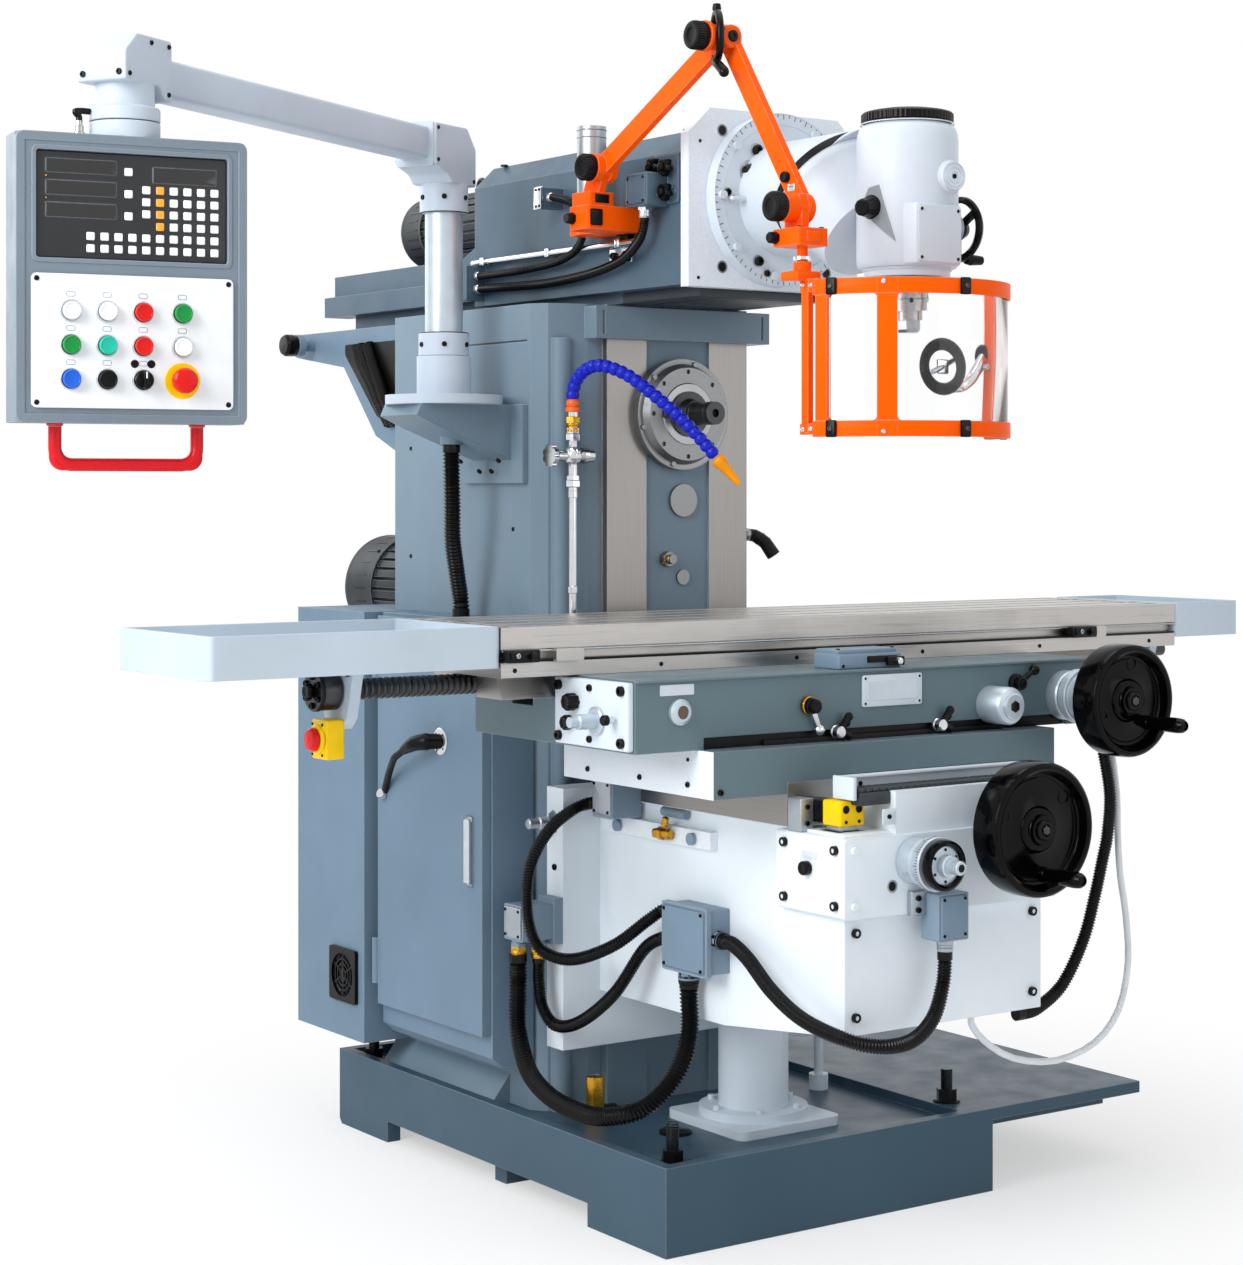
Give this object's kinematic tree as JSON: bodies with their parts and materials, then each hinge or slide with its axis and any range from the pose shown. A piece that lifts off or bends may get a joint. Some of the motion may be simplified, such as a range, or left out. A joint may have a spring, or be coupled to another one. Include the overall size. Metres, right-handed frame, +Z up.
{
  "type": "horizontal milling machine",
  "caption": "Knee-type horizontal and universal milling machine with overarm ram, swivelling vertical head, power table, guard and swinging control pendant.",
  "frame": {"origin": "centre of the base casting on the floor, on the column centre plane", "axes": "+X along the table to the operator's right, +Y to the back of the machine, +Z up; the operator stands on the -Y side"},
  "size_m": [2.5917, 2.1439, 2.115],
  "materials": {
    "blue_grey_enamel": "satin",
    "dark_blue_grey_enamel": "satin",
    "white_enamel": "satin",
    "light_grey_enamel": "satin",
    "orange_enamel": "gloss",
    "ground_steel": "ground",
    "bright_steel": "turned",
    "black_oxide_steel": "blackened",
    "brass": "turned",
    "black_phenolic": "moulded",
    "black_conduit": "corrugated",
    "blue_plastic": "moulded",
    "motor_black": "cast and painted",
    "clear_sheet": "clear",
    "white_button": "moulded",
    "blue_button": "moulded",
    "red_button": "moulded",
    "grey_box_enamel": "satin"
  },
  "bodies": {
    "machine_frame": {"base_casting": "dark_blue_grey_enamel", "levelling_bolts": "black_oxide_steel", "column_casting": "blue_grey_enamel", "lift_pedestal": "white_enamel", "spindle_flange": "bright_steel", "electrical_cabinet": "blue_grey_enamel", "cabinet_equipment": "black_phenolic", "main_motor": "motor_black", "column_fittings": "brass", "coolant_pipe": "bright_steel", "rear_duct": "blue_grey_enamel", "pendant_bracket": "light_grey_enamel", "pendant_conduit": "black_conduit"},
    "cabinet_door": {"cabinet_door": "blue_grey_enamel"},
    "door_latch": {"door_latch": "bright_steel"},
    "horizontal_spindle": {"horizontal_spindle": "black_oxide_steel"},
    "drive_shaft": {"drive_shaft": "bright_steel"},
    "coolant_hose": {"coolant_hose": "blue_plastic"},
    "coolant_knob": {"coolant_knob": "bright_steel"},
    "knee": {"knee_casting": "white_enamel", "elevating_screw": "bright_steel", "knee_fittings": "grey_box_enamel", "knee_conduits": "black_conduit", "saddle_hoses": "black_conduit"},
    "elevation_crank": {"elevation_crank": "bright_steel"},
    "cross_handwheel": {"cross_handwheel": "black_phenolic"},
    "cross_handle": {"cross_handle": "black_phenolic"},
    "saddle": {"saddle_block": "white_enamel", "table_support": "blue_grey_enamel", "support_fittings": "bright_steel"},
    "clamp_lever": {"clamp_lever": "bright_steel"},
    "left_lock_lever": {"left_lock_lever": "black_phenolic"},
    "right_lock_lever": {"right_lock_lever": "black_phenolic"},
    "feed_lever": {"feed_lever": "black_phenolic"},
    "table_handwheel": {"table_handwheel": "black_phenolic"},
    "table_handle": {"table_handle": "black_phenolic"},
    "work_table": {"table": "ground_steel", "end_trays": "white_enamel"},
    "lead_screw": {"lead_screw": "black_oxide_steel"},
    "table_stop_button": {"table_stop_button": "red_button"},
    "ram": {"ram_housing": "blue_grey_enamel", "ram_motor": "motor_black", "ram_conduits": "black_conduit", "guard_base": "orange_enamel"},
    "head_swivel": {"swivel_knuckle": "white_enamel"},
    "milling_head": {"vertical_head": "white_enamel"},
    "vertical_spindle": {"vertical_spindle": "bright_steel"},
    "quill_handwheel": {"quill_handwheel": "black_phenolic"},
    "guard_link_low": {"guard_link_low": "orange_enamel"},
    "guard_link_high": {"guard_link_high": "orange_enamel"},
    "guard_wrist": {"guard_wrist": "orange_enamel"},
    "spindle_guard": {"guard_frame": "orange_enamel", "guard_panes": "clear_sheet"},
    "pendant_arm": {"pendant_arm": "light_grey_enamel"},
    "control_panel": {"control_panel": "dark_blue_grey_enamel"},
    "top_button_row": {"top_button_row": "white_button"},
    "middle_button_row": {"middle_button_row": "white_button"},
    "low_button_row": {"low_button_row": "blue_button"},
    "panel_stop_button": {"panel_stop_button": "red_button"},
    "panel_selector": {"panel_selector": "black_phenolic"}
  },
  "joints": [
    {"name": "cabinet_door_hinge", "type": "hinge", "parent": "machine_frame", "child": "cabinet_door", "pos_m": [-0.4123, 0.365, 0.65], "axis": [0, 0, 1], "range_deg": [-95, 0]},
    {"name": "door_latch_lift", "type": "hinge", "parent": "cabinet_door", "child": "door_latch", "pos_m": [-0.417, 0.004, 0.576], "axis": [0, 1, 0], "range_deg": [-40, 0]},
    {"name": "horizontal_spindle_turn", "type": "hinge", "parent": "machine_frame", "child": "horizontal_spindle", "pos_m": [0, -0.1, 1.462], "axis": [0, 1, 0], "continuous": true},
    {"name": "drive_shaft_turn", "type": "hinge", "parent": "machine_frame", "child": "drive_shaft", "pos_m": [0, 0.1, 1.272], "axis": [0, 1, 0], "continuous": true},
    {"name": "coolant_hose_swivel", "type": "hinge", "parent": "machine_frame", "child": "coolant_hose", "pos_m": [-0.252, -0.104, 1.47], "axis": [0, 0, 1], "range_deg": [-70, 15]},
    {"name": "coolant_knob_turn", "type": "hinge", "parent": "machine_frame", "child": "coolant_knob", "pos_m": [-0.3, -0.104, 1.38], "axis": [1, 0, 0], "continuous": true},
    {"name": "knee_lift", "type": "slide", "parent": "machine_frame", "child": "knee", "axis": [0, 0, 1], "range_m": [-0.04, 0.22]},
    {"name": "elevation_crank_turn", "type": "hinge", "parent": "knee", "child": "elevation_crank", "pos_m": [-0.091, -0.95, 0.696], "axis": [0, 1, 0], "continuous": true},
    {"name": "cross_handwheel_turn", "type": "hinge", "parent": "knee", "child": "cross_handwheel", "pos_m": [0.092, -0.98, 0.745], "axis": [0, 1, 0], "continuous": true},
    {"name": "cross_handle_turn", "type": "hinge", "parent": "cross_handwheel", "child": "cross_handle", "pos_m": [0.10554, -1.03, 0.66818], "axis": [0, 1, 0], "continuous": true},
    {"name": "saddle_cross", "type": "slide", "parent": "knee", "child": "saddle", "axis": [0, 1, 0], "range_m": [-0.08, 0.05]},
    {"name": "clamp_lever_turn", "type": "hinge", "parent": "saddle", "child": "clamp_lever", "pos_m": [-0.158, -0.7, 0.944], "axis": [0, 1, 0], "range_deg": [-30, 60]},
    {"name": "left_lock_lever_turn", "type": "hinge", "parent": "saddle", "child": "left_lock_lever", "pos_m": [-0.098, -0.7, 0.896], "axis": [0, 1, 0], "range_deg": [-30, 30]},
    {"name": "right_lock_lever_turn", "type": "hinge", "parent": "saddle", "child": "right_lock_lever", "pos_m": [0.137, -0.7, 0.896], "axis": [0, 1, 0], "range_deg": [-30, 30]},
    {"name": "feed_lever_turn", "type": "hinge", "parent": "saddle", "child": "feed_lever", "pos_m": [0.33, -0.69, 0.962], "axis": [0, 1, 0], "range_deg": [-25, 25]},
    {"name": "table_handwheel_turn", "type": "hinge", "parent": "saddle", "child": "table_handwheel", "pos_m": [0.453, -0.8, 0.935], "axis": [0, 1, 0], "continuous": true},
    {"name": "table_handle_turn", "type": "hinge", "parent": "table_handwheel", "child": "table_handle", "pos_m": [0.50356, -0.9, 0.89258], "axis": [0, 1, 0], "continuous": true},
    {"name": "table_traverse", "type": "slide", "parent": "saddle", "child": "work_table", "axis": [1, 0, 0], "range_m": [-0.4, 0.33]},
    {"name": "lead_screw_turn", "type": "hinge", "parent": "work_table", "child": "lead_screw", "pos_m": [0, -0.347, 0.981], "axis": [1, 0, 0], "continuous": true},
    {"name": "table_stop_press", "type": "slide", "parent": "work_table", "child": "table_stop_button", "axis": [1, 0, 0], "range_m": [0, 0.004], "stiffness_N_per_m": 800, "springref_m": -0.002},
    {"name": "ram_slide", "type": "slide", "parent": "machine_frame", "child": "ram", "axis": [0, 1, 0], "range_m": [-0.15, 0.2]},
    {"name": "head_swivel_turn", "type": "hinge", "parent": "ram", "child": "head_swivel", "pos_m": [0, -0.43, 1.849], "axis": [0, 1, 0], "range_deg": [-45, 45]},
    {"name": "head_tilt_turn", "type": "hinge", "parent": "head_swivel", "child": "milling_head", "pos_m": [0, -0.59, 1.849], "axis": [0, -0.7071, -0.7071], "range_deg": [-30, 30]},
    {"name": "vertical_spindle_turn", "type": "hinge", "parent": "milling_head", "child": "vertical_spindle", "pos_m": [0, -0.77, 1.65], "axis": [0, 0, 1], "continuous": true},
    {"name": "quill_handwheel_turn", "type": "hinge", "parent": "milling_head", "child": "quill_handwheel", "pos_m": [0.12, -0.77, 1.773], "axis": [1, 0, 0], "continuous": true},
    {"name": "guard_base_swing", "type": "hinge", "parent": "ram", "child": "guard_link_low", "pos_m": [-0.285, -0.221, 1.85], "axis": [0, 0, 1], "range_deg": [-60, 4]},
    {"name": "guard_elbow", "type": "hinge", "parent": "guard_link_low", "child": "guard_link_high", "pos_m": [-0.285, -0.615, 2.091], "axis": [1, 0, 0], "range_deg": [-15, 10]},
    {"name": "guard_wrist_turn", "type": "hinge", "parent": "guard_link_high", "child": "guard_wrist", "pos_m": [-0.285, -0.821, 1.781], "axis": [1, 0, 0], "range_deg": [-15, 5]},
    {"name": "guard_swing", "type": "hinge", "parent": "guard_wrist", "child": "spindle_guard", "pos_m": [-0.285, -0.835, 1.67], "axis": [0, 0, 1], "range_deg": [-90, 5]},
    {"name": "pendant_arm_swing", "type": "hinge", "parent": "machine_frame", "child": "pendant_arm", "pos_m": [-0.42, 0.088, 1.6], "axis": [0, 0, 1], "range_deg": [-30, 35]},
    {"name": "control_panel_swivel", "type": "hinge", "parent": "pendant_arm", "child": "control_panel", "pos_m": [-1.29755, -0.41447, 1.88], "axis": [0, 0, 1], "range_deg": [-60, 60]},
    {"name": "top_button_row_press", "type": "slide", "parent": "control_panel", "child": "top_button_row", "axis": [0.1564, 0.9877, 0], "range_m": [0, 0.004], "stiffness_N_per_m": 800, "springref_m": -0.002},
    {"name": "middle_button_row_press", "type": "slide", "parent": "control_panel", "child": "middle_button_row", "axis": [0.1564, 0.9877, 0], "range_m": [0, 0.004], "stiffness_N_per_m": 800, "springref_m": -0.002},
    {"name": "low_button_row_press", "type": "slide", "parent": "control_panel", "child": "low_button_row", "axis": [0.1564, 0.9877, 0], "range_m": [0, 0.004], "stiffness_N_per_m": 800, "springref_m": -0.002},
    {"name": "panel_stop_button_press", "type": "slide", "parent": "control_panel", "child": "panel_stop_button", "axis": [0.1564, 0.9877, 0], "range_m": [0, 0.004], "stiffness_N_per_m": 800, "springref_m": -0.002},
    {"name": "panel_selector_turn", "type": "hinge", "parent": "control_panel", "child": "panel_selector", "pos_m": [-1.29311, -0.47592, 1.484], "axis": [-0.1564, -0.9877, 0], "range_deg": [-45, 45]}
  ],
  "couplings": [
    {"joint": "drive_shaft_turn", "follows": "horizontal_spindle_turn", "ratio": -1.7143}
  ]
}
